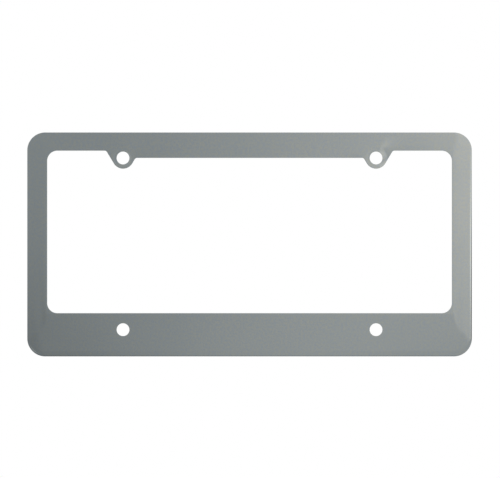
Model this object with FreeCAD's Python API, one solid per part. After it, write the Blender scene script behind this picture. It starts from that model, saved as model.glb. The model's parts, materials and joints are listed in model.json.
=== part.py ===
import FreeCAD, Part
import os
from math import cos, radians, sin, sqrt, tan

# Number plate frame: a shallow tray drawn from one sheet of steel, its face crowned and its
# edge rolled back over the plate, with a window pierced in the face and two screw ears left
# standing on the window's upper edge.
# Millimetres. X is the frame's length, Z is up, and -Y is the side that faces the viewer.
# The origin is the centre of the four screw holes, midway through the sheet.

# Driving dimensions
SHEET = 0.8

RIM_BESIDE_HOLES = 67.6
RIM_ABOVE_HOLES = 18.15
RIM_BELOW_HOLES = 19.0
RIM_CORNER_RADIUS = 12.7
DEPTH = 5.6
SKIRT_DRAFT = 2.0
ROLL_RADIUS = 1.8
CROWN = 0.6

SIDE_RAIL = 14.3
BOTTOM_RAIL = 30.6
TOP_RAIL = 13.0
TOP_RAIL_BETWEEN_EARS = 18.1
WINDOW_CORNER_RADIUS = 7.2
FLAT_LIP = 2.2

SCREW_SPACING_X = 177.8
SCREW_SPACING_Z = 120.65
SCREW_HOLE_RADIUS = 4.5
EAR_RADIUS = 7.5
EAR_FLANK_ANGLE = 59.0
EAR_ROOT_RADIUS = 2.0
SEAT_RADIUS = 7.2
SEAT_SLOPE = 1.3
SEAT_DIP = 0.1

# Places that follow from them
FRONT = -SHEET / 2
RIM = FRONT + DEPTH
HOLE_X = SCREW_SPACING_X / 2
HOLE_Z = SCREW_SPACING_Z / 2
LEFT = -HOLE_X - RIM_BESIDE_HOLES
RIGHT = HOLE_X + RIM_BESIDE_HOLES
LOW = -HOLE_Z - RIM_BELOW_HOLES
HIGH = HOLE_Z + RIM_ABOVE_HOLES
OVERRUN = 2 * DEPTH
ARC_WEIGHT = sqrt(0.5)


def vec(x, y, z):
    return FreeCAD.Vector(x, y, z)


def line(start, end):
    return Part.LineSegment(start, end).toShape()


def arc(start, middle, end):
    return Part.Arc(start, middle, end).toShape()


def quarter_arc(start, corner, end):
    """The quarter circle that leaves and enters its two ends along the lines to their corner."""
    middle = (start + end + corner * (2 * ARC_WEIGHT)) / (2 + 2 * ARC_WEIGHT)
    return arc(start, middle, end)


def ring(side, bottom, top, radius, y):
    """A rounded rectangle inset from the rim: each corner's arc as its start, its corner and its end."""
    left = LEFT + side
    right = RIGHT - side
    low = LOW + bottom
    high = HIGH - top
    return [
        (vec(right - radius, y, low), vec(right, y, low), vec(right, y, low + radius)),
        (vec(right, y, high - radius), vec(right, y, high), vec(right - radius, y, high)),
        (vec(left + radius, y, high), vec(left, y, high), vec(left, y, high - radius)),
        (vec(left, y, low + radius), vec(left, y, low), vec(left + radius, y, low)),
    ]


def even_ring(inset, y):
    """The rim's own outline, inset by the same amount on every side."""
    return ring(inset, inset, inset, RIM_CORNER_RADIUS - inset, y)


def window_ring(margin, y):
    """The window's outline without its ears, grown by a margin."""
    return ring(
        SIDE_RAIL - margin,
        BOTTOM_RAIL - margin,
        TOP_RAIL - margin,
        WINDOW_CORNER_RADIUS + margin,
        y,
    )


def cap(corners):
    """The flat face inside a ring."""
    edges = []
    for last, corner in zip(corners[-1:] + corners[:-1], corners):
        edges += [line(last[2], corner[0]), quarter_arc(*corner)]
    return Part.Face(Part.Wire(edges))


def patch(poles, weights):
    rows = len(poles)
    columns = len(poles[0])
    surface = Part.BSplineSurface()
    surface.buildFromPolesMultsKnots(
        poles, [rows, rows], [columns, columns], [0, 1], [0, 1], False, False, rows - 1, columns - 1, weights
    )
    return surface.toShape()


def band(rings, weights):
    """The surface drawn across a few rings, one patch along each side and one round each corner."""
    faces = []
    for place in range(len(rings[0])):
        corner = [list(each[place]) for each in rings]
        side = [[each[place - 1][2], each[place][0]] for each in rings]
        faces.append(patch(corner, [[weight, weight * ARC_WEIGHT, weight] for weight in weights]))
        faces.append(patch(side, [[weight, weight] for weight in weights]))
    return faces


def tray_block(offset):
    """The block inside the tray's outer surface, or inside its inner one when offset by the sheet."""
    draft = radians(SKIRT_DRAFT)
    slant = 2 * CROWN / (TOP_RAIL - FLAT_LIP - ROLL_RADIUS)
    level = 1 / sqrt(1 + slant**2)
    tilt = slant * level
    radius = ROLL_RADIUS - offset
    centre_y = FRONT + CROWN + ROLL_RADIUS * level
    centre_in = (RIM - centre_y + ROLL_RADIUS * sin(draft)) * tan(draft) + ROLL_RADIUS * cos(draft)
    turn = cos(draft) * tilt + sin(draft) * level

    mouth = even_ring(offset / cos(draft) - offset * tan(draft), RIM + offset)
    roll_start = even_ring(centre_in - radius * cos(draft), centre_y - radius * sin(draft))
    roll_corner = even_ring(
        centre_in - radius * (cos(draft) + tilt) / (1 + turn),
        centre_y - radius * (sin(draft) + level) / (1 + turn),
    )
    crown_in = centre_in - radius * tilt
    crown_y = centre_y - radius * level
    front = FRONT + offset
    crown_start = even_ring(crown_in, crown_y)
    crown_corner = even_ring(crown_in + (crown_y - front) / slant, front)
    crown_end = window_ring(FLAT_LIP, front)

    faces = [cap(mouth), cap(crown_end)]
    faces += band([mouth, roll_start], [1, 1])
    faces += band([roll_start, roll_corner, crown_start], [1, sqrt((1 + turn) / 2), 1])
    faces += band([crown_start, crown_corner, crown_end], [1, 1, 1])
    skin = Part.makeShell(faces)
    skin.sewShape()
    return Part.makeSolid(skin)


def ear_flank(way, edge_z):
    """One side of an ear: its root under the rail's edge, its flank and its foot to the lowest point."""
    rise = sin(radians(EAR_FLANK_ANGLE))
    run = cos(radians(EAR_FLANK_ANGLE))
    touch_x = EAR_RADIUS * rise
    touch_z = HOLE_Z - EAR_RADIUS * run
    root_z = edge_z - EAR_ROOT_RADIUS
    root_x = touch_x + (EAR_ROOT_RADIUS + (root_z - touch_z) * run) / rise
    bend = radians(45 + EAR_FLANK_ANGLE / 2)

    def at(x, z):
        return vec(HOLE_X + way * x, 0, z)

    above = at(root_x, edge_z)
    root = arc(
        above,
        at(root_x - EAR_ROOT_RADIUS * cos(bend), root_z + EAR_ROOT_RADIUS * sin(bend)),
        at(root_x - EAR_ROOT_RADIUS * rise, root_z + EAR_ROOT_RADIUS * run),
    )
    flank = line(at(root_x - EAR_ROOT_RADIUS * rise, root_z + EAR_ROOT_RADIUS * run), at(touch_x, touch_z))
    foot = arc(
        at(touch_x, touch_z),
        at(EAR_RADIUS * cos(bend), HOLE_Z - EAR_RADIUS * sin(bend)),
        at(0, HOLE_Z - EAR_RADIUS),
    )
    return above, [root, flank, foot]


def window():
    """The window's outline in the middle of the sheet, with both ears hanging into it."""
    between = HIGH - TOP_RAIL_BETWEEN_EARS
    low_corner, high_corner = window_ring(0, 0)[:2]
    inner, inner_flank = ear_flank(-1, between)
    outer, outer_flank = ear_flank(1, HIGH - TOP_RAIL)
    half = [line(vec(0, 0, between), inner)] + inner_flank + outer_flank
    half += [line(outer, high_corner[2]), quarter_arc(*high_corner)]
    half += [line(high_corner[0], low_corner[2]), quarter_arc(*low_corner)]
    half += [line(low_corner[0], vec(0, 0, LOW + BOTTOM_RAIL))]
    other = [edge.mirror(vec(0, 0, 0), vec(1, 0, 0)) for edge in half]
    return Part.Wire(Part.__sortEdges__(half + other))


def seat_body(depth, back):
    """A round seat's pressed surface at one depth, filled up to the flat plane at another."""
    floor = SEAT_RADIUS - SEAT_SLOPE
    low = depth + SEAT_DIP
    radius = (SEAT_SLOPE**2 + SEAT_DIP**2) / (4 * SEAT_DIP)
    quarter = SEAT_SLOPE / 4
    sag = radius - sqrt(radius**2 - quarter**2)
    turn = vec(SEAT_RADIUS - SEAT_SLOPE / 2, depth + SEAT_DIP / 2, 0)
    section = [
        line(vec(0, low, 0), vec(floor, low, 0)),
        arc(vec(floor, low, 0), vec(floor + quarter, low - sag, 0), turn),
        arc(turn, vec(SEAT_RADIUS - quarter, depth + sag, 0), vec(SEAT_RADIUS, depth, 0)),
        line(vec(SEAT_RADIUS, depth, 0), vec(SEAT_RADIUS, back, 0)),
        line(vec(SEAT_RADIUS, back, 0), vec(0, back, 0)),
        line(vec(0, back, 0), vec(0, low, 0)),
    ]
    return Part.Face(Part.Wire(section)).revolve(vec(0, 0, 0), vec(0, 1, 0), 360)


def plate_frame():
    sheet = tray_block(0).cut(tray_block(SHEET))
    bulge = seat_body(FRONT + SHEET, 0)
    hollow = seat_body(FRONT, -OVERRUN)
    drill = Part.makeCylinder(SCREW_HOLE_RADIUS, 2 * OVERRUN, vec(0, -OVERRUN, 0), vec(0, 1, 0))
    opening = Part.Face(window()).extrude(vec(0, 2 * OVERRUN, 0))
    for x in (-HOLE_X, HOLE_X):
        sheet = sheet.fuse(bulge.translated(vec(x, 0, HOLE_Z)))
        sheet = sheet.cut(hollow.translated(vec(x, 0, HOLE_Z)))
    sheet = sheet.cut(opening.translated(vec(0, -OVERRUN, 0)))
    for x in (-HOLE_X, HOLE_X):
        for z in (-HOLE_Z, HOLE_Z):
            sheet = sheet.cut(drill.translated(vec(x, 0, z)))
    return sheet.Solids[0]


shape = plate_frame()
os.makedirs("parts", exist_ok=True)
shape.exportStep("parts/plate_frame.step")
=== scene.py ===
import json
from collections import namedtuple
from math import atan, cos, pi, radians, sin, tan

import bmesh
import bpy
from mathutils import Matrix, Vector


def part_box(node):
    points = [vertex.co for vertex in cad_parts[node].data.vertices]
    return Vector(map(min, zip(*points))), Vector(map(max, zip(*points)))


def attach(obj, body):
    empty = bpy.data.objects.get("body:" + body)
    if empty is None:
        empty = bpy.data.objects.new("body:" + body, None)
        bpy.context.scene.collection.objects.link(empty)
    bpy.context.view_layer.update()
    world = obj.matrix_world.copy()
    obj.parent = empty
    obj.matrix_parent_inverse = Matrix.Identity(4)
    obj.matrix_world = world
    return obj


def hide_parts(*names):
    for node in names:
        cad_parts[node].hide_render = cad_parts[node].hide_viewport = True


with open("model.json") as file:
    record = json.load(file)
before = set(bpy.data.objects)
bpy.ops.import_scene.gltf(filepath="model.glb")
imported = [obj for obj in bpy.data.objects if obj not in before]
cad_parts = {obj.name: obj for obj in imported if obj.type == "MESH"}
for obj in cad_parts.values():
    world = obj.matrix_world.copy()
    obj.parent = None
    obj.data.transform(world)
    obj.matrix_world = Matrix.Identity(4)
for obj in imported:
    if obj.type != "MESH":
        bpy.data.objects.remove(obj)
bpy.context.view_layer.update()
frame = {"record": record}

MM = 0.001

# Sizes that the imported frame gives

lowest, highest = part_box("plate_frame")
mounts = {mount["name"]: mount for mount in frame["record"]["mounts"]}
screws = mounts["screw_holes"]["dims"]
HOLE_X = screws["spacing_x_mm"] / 2 * MM
HOLE_Z = screws["spacing_y_mm"] / 2 * MM
HOLE_RADIUS = screws["hole_r_mm"] * MM
RIGHT = highest.x
LOW = lowest.z
HIGH = highest.z
FRONT = lowest.y
RIM = highest.y

# Sizes of the pressing

SHEET = 0.8 * MM
RIM_CORNER_RADIUS = 12.7 * MM
SKIRT_DRAFT = radians(2)
ROLL_RADIUS = 1.8 * MM
CROWN = 0.6 * MM
MITRE_RADIUS = 1.8 * MM
SIDE_RAIL = 14.3 * MM
BOTTOM_RAIL = 30.6 * MM
TOP_RAIL = 13.0 * MM
TOP_RAIL_BETWEEN_EARS = 18.1 * MM
WINDOW_CORNER_RADIUS = 7.2 * MM
FLAT_LIP = 2.2 * MM
FLAT_LIP_BESIDE = 0.5 * MM
BEND = LOW + 60 * MM
EAR_RADIUS = 7.5 * MM
EAR_FLANK = radians(59)
EAR_ROOT_RADIUS = 2.0 * MM
SEAT_RADIUS = 7.2 * MM
SEAT_FLOOR = 5.9 * MM
SEAT_DIP = 0.015 * MM
PIERCED_EDGE = 0.08 * MM

# The crown's course across the rails, as shares of the way from the roll to the lip

SIDE_BOW = 1.4
LEAN = 0.55
LEAN_START = 0.20
LEAN_LENGTH = 0.32
LOW_MITRE_START = 0.3
HIGH_MITRE_START = 0.55
ROUNDING_START = 0.85
ROUNDING_LENGTH = 0.15

# How finely the curves are divided

CORNER_STEPS = 32
ROLL_STEPS = 10
CROWN_STEPS = 20
ROOT_STEPS = 10
FOOT_STEPS = 40
SEAT_SIDES = 96
SEAT_STEPS = 8
DRILL_TURN = radians(0.5)

# What counts as a smooth edge, as a sharp one and as the same place

SMOOTH_BELOW = radians(30)
ROUNDED_ABOVE = radians(50)
HAIR = 0.001 * MM


# Selecting and moving in edit mode

def edit_mesh():
    return bmesh.from_edit_mesh(bpy.context.edit_object.data)


def chosen():
    return [vert.index for vert in edit_mesh().verts if vert.select]


def choose(wanted):
    """Selects the vertices that a test of their place accepts, and what lies between them."""
    mesh = edit_mesh()
    mesh.select_mode = {"VERT"}
    for vert in mesh.verts:
        vert.select_set(wanted(vert.co))
    mesh.select_flush_mode()
    bmesh.update_edit_mesh(bpy.context.edit_object.data)


def choose_again(indices):
    """Selects the vertices of the given numbers, and what lies between them."""
    mesh = edit_mesh()
    mesh.verts.ensure_lookup_table()
    keep = set(indices)
    for vert in mesh.verts:
        vert.select_set(vert.index in keep)
    mesh.select_flush_mode()
    bmesh.update_edit_mesh(bpy.context.edit_object.data)


def draw_to(x, y, z):
    """Draws a line from the chosen point to the place given."""
    point = next(vert.co.copy() for vert in edit_mesh().verts if vert.select)
    step = (x - point.x, y - point.y, z - point.z)
    bpy.ops.mesh.extrude_vertices_move(TRANSFORM_OT_translate={"value": step})


def draw_round(x, z, angle, steps):
    """Draws an arc from the chosen point round a centre, counter-clockwise as seen from the front."""
    bpy.ops.mesh.spin(steps=steps, angle=angle, center=(x, 0, z), axis=(0, 1, 0))


# The tray's rings: each is half of a rounded rectangle, from the middle below to the middle above

# A ring's side stands at right above the bend, and leans from there to low_right at its lower corner
Ring = namedtuple("Ring", "right low_right low high low_radius high_radius depth")


def even_ring(inset, depth):
    """The rim's own outline, set in by the same amount on every side."""
    radius = RIM_CORNER_RADIUS - inset
    return Ring(RIGHT - inset, RIGHT - inset, LOW + inset, HIGH - inset, radius, radius, depth)


def window_ring(beside, above):
    """The window's outline without its ears, with a margin beside and below it, and another above."""
    return Ring(
        RIGHT - SIDE_RAIL + beside,
        RIGHT - SIDE_RAIL + beside,
        LOW + BOTTOM_RAIL - beside,
        HIGH - TOP_RAIL + above,
        WINDOW_CORNER_RADIUS + beside,
        WINDOW_CORNER_RADIUS + (beside + above) / 2,
        FRONT,
    )


def draw_ring(ring):
    """Draws the first ring from a point in the middle below."""
    draw_to(ring.low_right - ring.low_radius, ring.depth, ring.low)
    draw_round(ring.low_right - ring.low_radius, ring.low + ring.low_radius, pi / 2, CORNER_STEPS)
    draw_to(ring.right, ring.depth, BEND)
    draw_to(ring.right, ring.depth, ring.high - ring.high_radius)
    draw_round(ring.right - ring.high_radius, ring.high - ring.high_radius, pi / 2, CORNER_STEPS)
    draw_to(0, ring.depth, ring.high)


def lay_ring(old, new):
    """Extrudes the ring and lays the copy in place: both ends, the bend in its side, then both corners."""
    bpy.ops.mesh.extrude_edges_move()
    fresh = chosen()
    places = {vert.index: vert.co.copy() for vert in edit_mesh().verts if vert.select}
    for before, after in ((old.low, new.low), (old.high, new.high)):
        choose_again([i for i in fresh if abs(places[i].x) < HAIR and abs(places[i].z - before) < HAIR])
        bpy.ops.transform.translate(value=(0, new.depth - old.depth, after - before))
    choose_again([i for i in fresh if abs(places[i].z - BEND) < HAIR])
    bpy.ops.transform.translate(value=(new.right - old.right, new.depth - old.depth, 0))
    corners = (
        (-1, old.low, new.low, old.low_right, new.low_right, old.low_radius, new.low_radius),
        (1, old.high, new.high, old.right, new.right, old.high_radius, new.high_radius),
    )
    for way, edge, new_edge, side, new_side, radius, new_radius in corners:
        choose_again([i for i in fresh if places[i].x > HAIR and (places[i].z - BEND) * way > HAIR])
        centre = (side - radius, old.depth, edge - way * radius)
        scale = new_radius / radius
        bpy.ops.transform.resize(value=(scale, 1, scale), center_override=centre)
        place = (new_side - new_radius, new.depth, new_edge - way * new_radius)
        bpy.ops.transform.translate(value=[now - was for now, was in zip(place, centre)])
    choose_again(fresh)


def swell(share):
    """How far a smooth step has risen: two equal arcs that meet halfway."""
    if share < 0.5:
        return 2 * share**2
    return 1 - 2 * (1 - share) ** 2


def mitred(start, end, share, mitre_start):
    """A corner's radius along the crown: the roll's, then the mitre's, and near the lip the window's."""
    if share < mitre_start:
        return MITRE_RADIUS + (start - MITRE_RADIUS) * (1 - share / mitre_start)
    late = max(0, share - ROUNDING_START) / ROUNDING_LENGTH
    return MITRE_RADIUS + (end - MITRE_RADIUS) * late**2


def crown_ring(start, end, share):
    """A ring of the crown, at its share of the way from the roll to the lip.

    The crown rises evenly over the bottom rail, bows over the side rails and levels out over the top rail.
    Below the bend its sides lean in towards the window, and the crease at each lower corner with them.
    """
    rest = 1 - share
    below = 1 - rest**2
    beside = rest**SIDE_BOW
    lean = LEAN * swell(min(1, max(0, share - LEAN_START) / LEAN_LENGTH))
    return Ring(
        start.right + (end.right - start.right) * (1 - beside),
        start.low_right + (end.low_right - start.low_right) * (1 - beside * (1 - lean)),
        start.low + (end.low - start.low) * below,
        start.high + (end.high - start.high) * share,
        mitred(start.low_radius, end.low_radius, share, LOW_MITRE_START),
        mitred(start.high_radius, end.high_radius, share, HIGH_MITRE_START),
        FRONT + CROWN * rest**2,
    )


def tray_rings():
    """The rings from the rim over the leaning skirt, the roll and the crown to the window."""
    tilt = atan(2 * CROWN / (TOP_RAIL - FLAT_LIP - ROLL_RADIUS))
    centre_depth = FRONT + CROWN + ROLL_RADIUS * cos(tilt)
    centre_in = (RIM - centre_depth + ROLL_RADIUS * sin(SKIRT_DRAFT)) * tan(SKIRT_DRAFT)
    centre_in += ROLL_RADIUS * cos(SKIRT_DRAFT)
    rings = [even_ring(0, RIM)]
    for step in range(ROLL_STEPS + 1):
        turn = SKIRT_DRAFT + (pi / 2 - tilt - SKIRT_DRAFT) * step / ROLL_STEPS
        rings.append(even_ring(centre_in - ROLL_RADIUS * cos(turn), centre_depth - ROLL_RADIUS * sin(turn)))
    start = rings[-1]
    lip = window_ring(FLAT_LIP_BESIDE, FLAT_LIP)
    for step in range(1, CROWN_STEPS + 1):
        rings.append(crown_ring(start, lip, step / CROWN_STEPS))
    return rings + [window_ring(0, 0)]


def new_point(name, x, y, z):
    """A new piece of one point, made from a small plane drawn together."""
    bpy.ops.mesh.primitive_plane_add(size=MM)
    bpy.context.object.name = name
    bpy.ops.object.mode_set(mode="EDIT")
    bpy.ops.mesh.merge(type="CENTER")
    bpy.ops.transform.translate(value=(x, y, z))
    return bpy.context.object


def root_reach(edge):
    """How far from its hole's middle an ear's root meets the rail's edge."""
    flank_rise = edge - EAR_ROOT_RADIUS * (1 - cos(EAR_FLANK)) - HOLE_Z + EAR_RADIUS * cos(EAR_FLANK)
    return (EAR_RADIUS + EAR_ROOT_RADIUS) * sin(EAR_FLANK) + flank_rise / tan(EAR_FLANK)


def draw_web(top):
    """Draws the edge of the flat web that carries the ear, from the rail's middle to the ear's far root."""
    middle_edge = HIGH - TOP_RAIL_BETWEEN_EARS
    touch_x = EAR_RADIUS * sin(EAR_FLANK)
    touch_z = HOLE_Z - EAR_RADIUS * cos(EAR_FLANK)
    near_root = HOLE_X - root_reach(middle_edge)
    far_root = HOLE_X + root_reach(top)
    draw_to(0, FRONT, middle_edge)
    draw_to(near_root, FRONT, middle_edge)
    draw_round(near_root, middle_edge - EAR_ROOT_RADIUS, -EAR_FLANK, ROOT_STEPS)
    draw_to(HOLE_X - touch_x, FRONT, touch_z)
    draw_round(HOLE_X, HOLE_Z, 2 * EAR_FLANK, FOOT_STEPS)
    foot_of_root = top - EAR_ROOT_RADIUS * (1 - cos(EAR_FLANK))
    draw_to(far_root - EAR_ROOT_RADIUS * sin(EAR_FLANK), FRONT, foot_of_root)
    draw_round(far_root, top - EAR_ROOT_RADIUS, -EAR_FLANK, ROOT_STEPS)


def finish_modifier(piece, kind, **settings):
    modifier = piece.modifiers.new(kind.lower(), kind)
    for name, value in settings.items():
        setattr(modifier, name, value)
    bpy.ops.object.modifier_apply(modifier=modifier.name)


def press_sheet():
    """The right half of the sheet's front: the tray round the window, and the edge of the ear's web."""
    rings = tray_rings()
    sheet = new_point("pressed_frame", 0, RIM, LOW)
    draw_ring(rings[0])
    bpy.ops.mesh.select_all(action="SELECT")
    for old, new in zip(rings, rings[1:]):
        lay_ring(old, new)

    top = rings[-1].high
    lip = rings[-2].high
    far = HOLE_X + root_reach(top)
    choose(lambda place: place.z > top - HAIR)
    bpy.ops.mesh.bisect(plane_co=(far, 0, 0), plane_no=(1, 0, 0))
    choose(lambda place: abs(place.x) < HAIR and abs(place.z - top) < HAIR)
    bpy.ops.mesh.delete(type="VERT")
    choose(lambda place: abs(place.x) < HAIR and abs(place.z - lip) < HAIR)
    draw_web(top)
    bpy.ops.mesh.select_all(action="SELECT")
    bpy.ops.mesh.remove_doubles(threshold=2 * HAIR)
    return sheet, far, lip


def seat_profile():
    """The seat's groove as radii and depths, from its outer edge over its floor to the hole."""
    profile = []
    for step in range(1, SEAT_STEPS + 1):
        share = step / SEAT_STEPS
        profile.append((SEAT_RADIUS + (SEAT_FLOOR - SEAT_RADIUS) * share, SEAT_DIP * swell(share)))
    for step in range(1, SEAT_STEPS + 1):
        share = step / SEAT_STEPS
        profile.append((SEAT_FLOOR + (HOLE_RADIUS - SEAT_FLOOR) * share, SEAT_DIP * (1 - swell(share))))
    return profile


def sink_seat(far, lip):
    """Fills the web round the seat's circle, then presses the seat's shallow groove up to its hole."""
    bpy.ops.mesh.primitive_circle_add(
        vertices=SEAT_SIDES, radius=SEAT_RADIUS, location=(HOLE_X, FRONT, HOLE_Z), rotation=(pi / 2, 0, 0)
    )
    circle = chosen()
    choose(lambda place: place.x < far + HAIR and HOLE_Z - EAR_RADIUS - HAIR < place.z < lip + HAIR)
    bpy.ops.mesh.fill()
    choose_again(circle)
    radius = SEAT_RADIUS
    depth = 0
    for new_radius, new_depth in seat_profile():
        bpy.ops.mesh.extrude_edges_move()
        scale = new_radius / radius
        bpy.ops.transform.resize(value=(scale, 1, scale), center_override=(HOLE_X, 0, HOLE_Z))
        bpy.ops.transform.translate(value=(0, new_depth - depth, 0))
        radius = new_radius
        depth = new_depth


def face_forward(sheet):
    """Turns the sheet's normals the way of its front, before it gets its thickness."""
    bpy.ops.object.mode_set(mode="EDIT")
    bpy.ops.mesh.select_all(action="SELECT")
    bpy.ops.mesh.normals_make_consistent(inside=False)
    flattest = max(edit_mesh().faces, key=lambda face: abs(face.normal.y))
    if flattest.normal.y > 0:
        bpy.ops.mesh.flip_normals()
    bpy.ops.object.mode_set(mode="OBJECT")


def drill_lower_holes(sheet):
    """Drills both holes, the drill's facets turned a little off the sheet's own lines."""
    for side in (-1, 1):
        bpy.ops.mesh.primitive_cylinder_add(
            vertices=SEAT_SIDES,
            radius=HOLE_RADIUS,
            depth=20 * SHEET,
            location=(side * HOLE_X, 0, -HOLE_Z),
            rotation=(pi / 2, side * DRILL_TURN, 0),
        )
        drill = bpy.context.object
        bpy.ops.object.select_all(action="DESELECT")
        bpy.context.view_layer.objects.active = sheet
        sheet.select_set(True)
        finish_modifier(sheet, "BOOLEAN", operation="DIFFERENCE", solver="EXACT", object=drill)
        bpy.data.objects.remove(drill)


def pressed_frame():
    """The whole frame: its half mirrored, given the sheet's thickness, drilled and rounded at its edges."""
    bpy.ops.object.select_all(action="DESELECT")
    sheet, far, lip = press_sheet()
    sink_seat(far, lip)
    bpy.ops.object.mode_set(mode="OBJECT")
    finish_modifier(sheet, "MIRROR", use_axis=(True, False, False), merge_threshold=HAIR)
    face_forward(sheet)
    finish_modifier(
        sheet,
        "SOLIDIFY",
        thickness=SHEET,
        offset=-1,
        use_even_offset=True,
        use_quality_normals=True,
    )
    drill_lower_holes(sheet)
    bpy.ops.object.shade_smooth_by_angle(angle=SMOOTH_BELOW)
    finish_modifier(
        sheet,
        "BEVEL",
        width=PIERCED_EDGE,
        segments=2,
        limit_method="ANGLE",
        angle_limit=ROUNDED_ABOVE,
        harden_normals=True,
        use_clamp_overlap=False,
    )
    bpy.ops.object.mode_set(mode="EDIT")
    bpy.ops.mesh.select_all(action="SELECT")
    bpy.ops.mesh.remove_doubles(threshold=4 * HAIR)
    bpy.ops.object.mode_set(mode="OBJECT")
    return sheet


piece = pressed_frame()
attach(piece, "root")
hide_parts("plate_frame")


# Chromium plating over a polished steel pressing

COOL_CHROME = (0.520, 0.546, 0.551, 1)
WARM_CHROME = (0.541, 0.560, 0.560, 1)
COOL_FLECK = (0.95, 0.975, 1.03, 1)
WARM_FLECK = (1.04, 1.02, 0.965, 1)
POLISHING_ANGLE = radians(0.6)
SCRATCH_ANGLE = radians(24)
WAVE_HEIGHT = 0.016 * MM
GRAIN_HEIGHT = 0.007 * MM
LINE_HEIGHT = 0.0003 * MM
SCRATCH_DEPTH = 0.0005 * MM
LEFT_EAR_SLOPE = 0.035
LEFT_EAR_FALL = 0.05 * MM
RIGHT_EAR_SLOPE = 0.055
RIGHT_EAR_FALL = 0.42 * MM


class Nodes:
    """Adds nodes to a material's or the world's tree and links what each one needs."""

    def __init__(self, owner):
        owner.use_nodes = True
        self.tree = owner.node_tree
        self.tree.nodes.clear()

    def add(self, kind, settings=None, **inputs):
        node = self.tree.nodes.new("ShaderNode" + kind)
        for name, value in (settings or {}).items():
            setattr(node, name, value)
        for name, value in inputs.items():
            self.give(node, name.replace("_", " "), value)
        return node

    def give(self, node, name, value):
        """Sets or links one input, called by its name, or by N and its number."""
        socket = node.inputs[int(name[1:])] if name[0] == "N" and name[1:].isdigit() else node.inputs[name]
        if isinstance(value, bpy.types.NodeSocket):
            self.tree.links.new(value, socket)
        else:
            socket.default_value = value

    def sum(self, operation, first, second=0.0, third=0.0):
        return self.add("Math", {"operation": operation}, N0=first, N1=second, N2=third).outputs[0]

    def product(self, first, *others):
        for other in others:
            first = self.sum("MULTIPLY", first, other)
        return first

    def blend(self, share, first, second, way="MIX"):
        """Mixes two colours by a share, or multiplies them."""
        settings = {"data_type": "RGBA", "blend_type": way}
        return self.add("Mix", settings, N0=share, N6=first, N7=second).outputs[2]


def placed(nodes, scale=(1, 1, 1), turn=0.0):
    """The object's own coordinates, turned in the face's plane and stretched."""
    own = nodes.add("TexCoord").outputs["Object"]
    turned = nodes.add("Mapping", Vector=own, Rotation=(0, turn, 0)).outputs[0]
    return nodes.add("Mapping", Vector=turned, Scale=scale).outputs[0]


def mottle(nodes, scale, detail=2.0, roughness=0.5, turn=0.0):
    """A noise with so many spots to the metre along each axis."""
    where = placed(nodes, scale, turn)
    return nodes.add("TexNoise", Vector=where, Scale=1.0, Detail=detail, Roughness=roughness).outputs["Fac"]


def between(nodes, value, low, high, lowest=0.25, greatest=0.75):
    """Brings a noise's usual range, or the range given, to a new one."""
    return nodes.add("MapRange", N0=value, N1=lowest, N2=greatest, N3=low, N4=high).outputs[0]


def eased(nodes, value, start, end):
    """Rises smoothly from nought to one between two places."""
    smooth = {"interpolation_type": "SMOOTHSTEP"}
    return nodes.add("MapRange", smooth, N0=value, N1=start, N2=end).outputs[0]


def soft_edge(nodes, place, edge, width):
    """Falls off over a width past the edge, and keeps its strength on the near side of it."""
    past = nodes.sum("DIVIDE", nodes.sum("SUBTRACT", place, edge), width)
    past = nodes.sum("MAXIMUM", past, 0.0)
    return nodes.sum("EXPONENT", nodes.product(past, past, -1.0))


def soft_band(nodes, place, middle, width):
    """Strongest in its middle and fading to both sides."""
    past = nodes.sum("DIVIDE", nodes.sum("SUBTRACT", place, middle), width)
    return nodes.sum("EXPONENT", nodes.product(past, past, -1.0))


def soft_patch(nodes, across, up, x, z, width, height):
    """A round patch, strongest in its middle."""
    return nodes.product(soft_band(nodes, across, x, width), soft_band(nodes, up, z, height))


def ear_lean(nodes, side, slope, fall):
    """The slight twist that a screw leaves in the front of its ear.

    The ear leans to the right, and on its hole's right-hand side it falls off too.
    """
    own = nodes.add("TexCoord").outputs["Object"]
    across, through, up = nodes.add("SeparateXYZ", Vector=own).outputs
    beside = nodes.sum("SUBTRACT", across, side * HOLE_X)
    above = nodes.sum("SUBTRACT", up, HOLE_Z)
    spread = soft_patch(nodes, beside, above, 0, -3 * MM, 12 * MM, 5 * MM)
    lean = nodes.product(beside, spread, -slope)
    squares = nodes.sum("ADD", nodes.product(beside, beside), nodes.product(above, above))
    far = nodes.sum("SQRT", squares)
    fade = soft_patch(nodes, beside, above, 4 * MM, -2 * MM, 26 * MM, 16 * MM)
    rightward = nodes.sum("DIVIDE", beside, far)
    step = nodes.product(eased(nodes, far, 3.8 * MM, 8.2 * MM), fade, eased(nodes, rightward, 0.35, 1.0))
    front = eased(nodes, through, 0.2 * MM, -0.2 * MM)
    return nodes.product(nodes.sum("MULTIPLY_ADD", step, -fall, lean), front)


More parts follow.
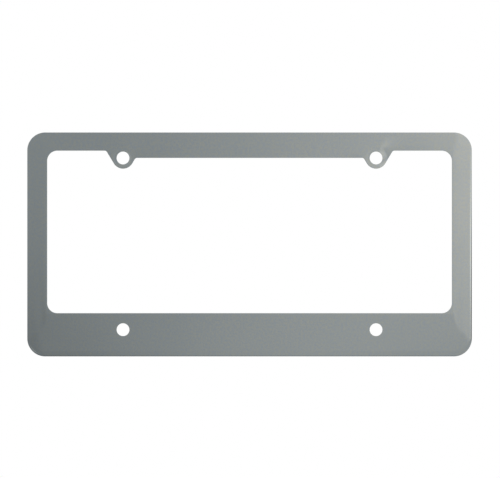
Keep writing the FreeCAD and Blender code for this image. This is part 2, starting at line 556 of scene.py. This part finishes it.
def plating():
    """Bright chromium: a soft mirror with a fine satin grain, polishing lines and a few hairline marks."""
    material = bpy.data.materials.new("bright_plating")
    nodes = Nodes(material)
    cloud = mottle(nodes, (22, 22, 22), 3)
    tone = nodes.blend(between(nodes, cloud, 0, 1), COOL_CHROME, WARM_CHROME)
    speckle = mottle(nodes, (640, 640, 640), 2)
    fleck = nodes.blend(between(nodes, speckle, 0, 1, 0.35, 0.65), COOL_FLECK, WARM_FLECK)
    tone = nodes.blend(1.0, tone, fleck, "MULTIPLY")

    grain = mottle(nodes, (700, 700, 700), 2)
    lines = mottle(nodes, (14, 500, 1900), 2, 0.6, POLISHING_ANGLE)
    hairs = mottle(nodes, (60, 400, 6000), 1, 0.5, SCRATCH_ANGLE)
    hairs = between(nodes, hairs, 0, 1, 0.70, 0.78)
    smudge = mottle(nodes, (38, 38, 70), 4, 0.6)

    rough = between(nodes, smudge, 0.075, 0.135)
    rough = nodes.sum("MULTIPLY_ADD", lines, 0.03, rough)
    rough = nodes.sum("MULTIPLY_ADD", hairs, 0.08, rough)

    wave = mottle(nodes, (34, 34, 46), 1)
    height = nodes.sum("MULTIPLY", wave, WAVE_HEIGHT)
    height = nodes.sum("ADD", height, ear_lean(nodes, -1, LEFT_EAR_SLOPE, LEFT_EAR_FALL))
    height = nodes.sum("ADD", height, ear_lean(nodes, 1, RIGHT_EAR_SLOPE, RIGHT_EAR_FALL))
    height = nodes.sum("MULTIPLY_ADD", grain, GRAIN_HEIGHT, height)
    height = nodes.sum("MULTIPLY_ADD", lines, LINE_HEIGHT, height)
    height = nodes.sum("MULTIPLY_ADD", hairs, -SCRATCH_DEPTH, height)
    bump = nodes.add("Bump", Strength=1.0, Distance=1.0, Height=height).outputs[0]

    shader = nodes.add("BsdfPrincipled", Base_Color=tone, Roughness=rough, Normal=bump, Metallic=1.0)
    nodes.add("OutputMaterial", Surface=shader.outputs[0])
    return material


piece.data.materials.append(plating())

# Studio: a white surround, a pale floor well below, and a tent of soft grey light that the metal mirrors

TENT = 3.0
FLOOR = -3.2
SOFT_LIGHT = 0.85
FLOOR_PAPER = (0.86, 0.86, 0.855, 1)
FLOOR_GLOW = 0.28

# The tent's brightness, as the tone of the metal that mirrors it

LEFT_TONE = 0.223
RIGHT_GAIN = 0.214
LEFT_SHADE = 0.186
RIGHT_SHADE = 0.202
LEAST_TONE = 0.155
LEAST_GAIN = 0.12
LAMP = 0.32
SHEEN = 0.16
DIM_TINT = (0.94, 1.0, 1.015, 1)
BRIGHT_TINT = (1.0, 1.0, 0.96, 1)

# The share of the light that each dark area takes away, and the share that the metal gives back

RIGHT_DUSK = 0.92
LOW_DUSK = 0.4
METAL_SHARE = 0.553


def seen_directly(nodes):
    """One for the rays that show the surround itself: to the camera, in a mirror or through a glass."""
    path = nodes.add("LightPath").outputs
    seen = nodes.sum("MAXIMUM", path["Is Camera Ray"], path["Is Glossy Ray"])
    return nodes.sum("MAXIMUM", seen, path["Is Transmission Ray"])


def surround():
    world = bpy.data.worlds.new("white_surround")
    nodes = Nodes(world)
    level = nodes.sum("MULTIPLY_ADD", seen_directly(nodes), 1 - SOFT_LIGHT, SOFT_LIGHT)
    light = nodes.add("Background", Color=(1, 1, 1, 1), Strength=level)
    nodes.add("OutputWorld", Surface=light.outputs[0])
    return world


def pale_floor():
    material = bpy.data.materials.new("pale_floor")
    nodes = Nodes(material)
    paper = nodes.add("BsdfDiffuse", Color=FLOOR_PAPER).outputs[0]
    strength = nodes.sum("MULTIPLY", seen_directly(nodes), FLOOR_GLOW)
    glow = nodes.add("Emission", Color=(1, 1, 1, 1), Strength=strength)
    both = nodes.add("AddShader", N0=paper, N1=glow.outputs[0])
    nodes.add("OutputMaterial", Surface=both.outputs[0])
    return material


def tent_light():
    """Soft grey cloth, brighter to the right and shaded low down on either side.

    In front, a lamp stands at the right on the height of the frame, and a sheen low down at the left.
    Behind the frame the tent is dark at the right, and dimmer deep down.
    All places are in metres from the tent's middle.
    """
    material = bpy.data.materials.new("tent_light")
    nodes = Nodes(material)
    own = nodes.add("TexCoord").outputs["Object"]
    across, back, up = nodes.add("SeparateXYZ", Vector=own).outputs
    level = nodes.sum("MULTIPLY_ADD", eased(nodes, across, -0.41, 0.81), RIGHT_GAIN, LEFT_TONE)

    left_shade = nodes.product(soft_edge(nodes, across, -0.83, 0.41), soft_edge(nodes, up, -0.55, 0.35))
    level = nodes.sum("MULTIPLY_ADD", left_shade, -LEFT_SHADE, level)
    right_shade = nodes.product(soft_edge(nodes, across, 0.65, -0.37), soft_edge(nodes, up, -0.56, 0.40))
    level = nodes.sum("MULTIPLY_ADD", right_shade, -RIGHT_SHADE, level)
    least = nodes.sum("MULTIPLY_ADD", eased(nodes, across, -0.45, 0.15), LEAST_GAIN, LEAST_TONE)
    level = nodes.sum("SMOOTH_MAX", level, least, 0.03)

    lamp = nodes.product(
        eased(nodes, across, 1.2, 1.9),
        eased(nodes, back, 0.0, -0.8),
        soft_band(nodes, up, -0.02, 0.12),
    )
    level = nodes.sum("MULTIPLY_ADD", lamp, LAMP, level)
    low_left = soft_patch(nodes, across, up, -1.55, -1.35, 0.5, 0.5)
    sheen = nodes.product(low_left, eased(nodes, back, 0.0, -1.0))
    level = nodes.sum("MULTIPLY_ADD", sheen, SHEEN, level)

    right_dusk = nodes.product(
        eased(nodes, across, 0.6, 1.2),
        eased(nodes, back, -0.3, 0.1),
        eased(nodes, up, 0.17, -0.06),
        eased(nodes, up, -0.55, -0.3),
    )
    behind = soft_patch(nodes, across, back, 0.0, 0.9, 1.2, 1.3)
    low_dusk = nodes.product(behind, eased(nodes, up, -0.6, -1.4))
    dimmed = nodes.sum("MULTIPLY_ADD", low_dusk, -LOW_DUSK, 1.0)
    dimmed = nodes.sum("MULTIPLY_ADD", right_dusk, -RIGHT_DUSK, dimmed)
    level = nodes.sum("MULTIPLY", level, dimmed)

    tint = nodes.blend(between(nodes, level, 0, 1, 0.22, 0.42), DIM_TINT, BRIGHT_TINT)
    light = nodes.add("Emission", Color=tint, Strength=nodes.sum("DIVIDE", level, METAL_SHARE))
    nodes.add("OutputMaterial", Surface=light.outputs[0])
    return material


bpy.ops.mesh.primitive_plane_add(size=12, location=(0, 0, FLOOR))
floor = bpy.context.object
floor.name = "floor"
floor.data.materials.append(pale_floor())

bpy.ops.mesh.primitive_uv_sphere_add(segments=96, ring_count=48, radius=TENT)
tent = bpy.context.object
tent.name = "tent"
tent.data.materials.append(tent_light())
tent.visible_camera = False
tent.visible_diffuse = False
tent.visible_shadow = False

bpy.context.scene.world = surround()

# The camera stands straight in front, as the photo's did

bpy.ops.object.camera_add(location=(0.32 * MM, -1.5, 3.4 * MM), rotation=(pi / 2, 0, 0))
camera = bpy.context.object
camera.data.sensor_width = 36
camera.data.lens = 153.7
bpy.context.scene.camera = camera
bpy.context.scene.view_settings.view_transform = "Standard"
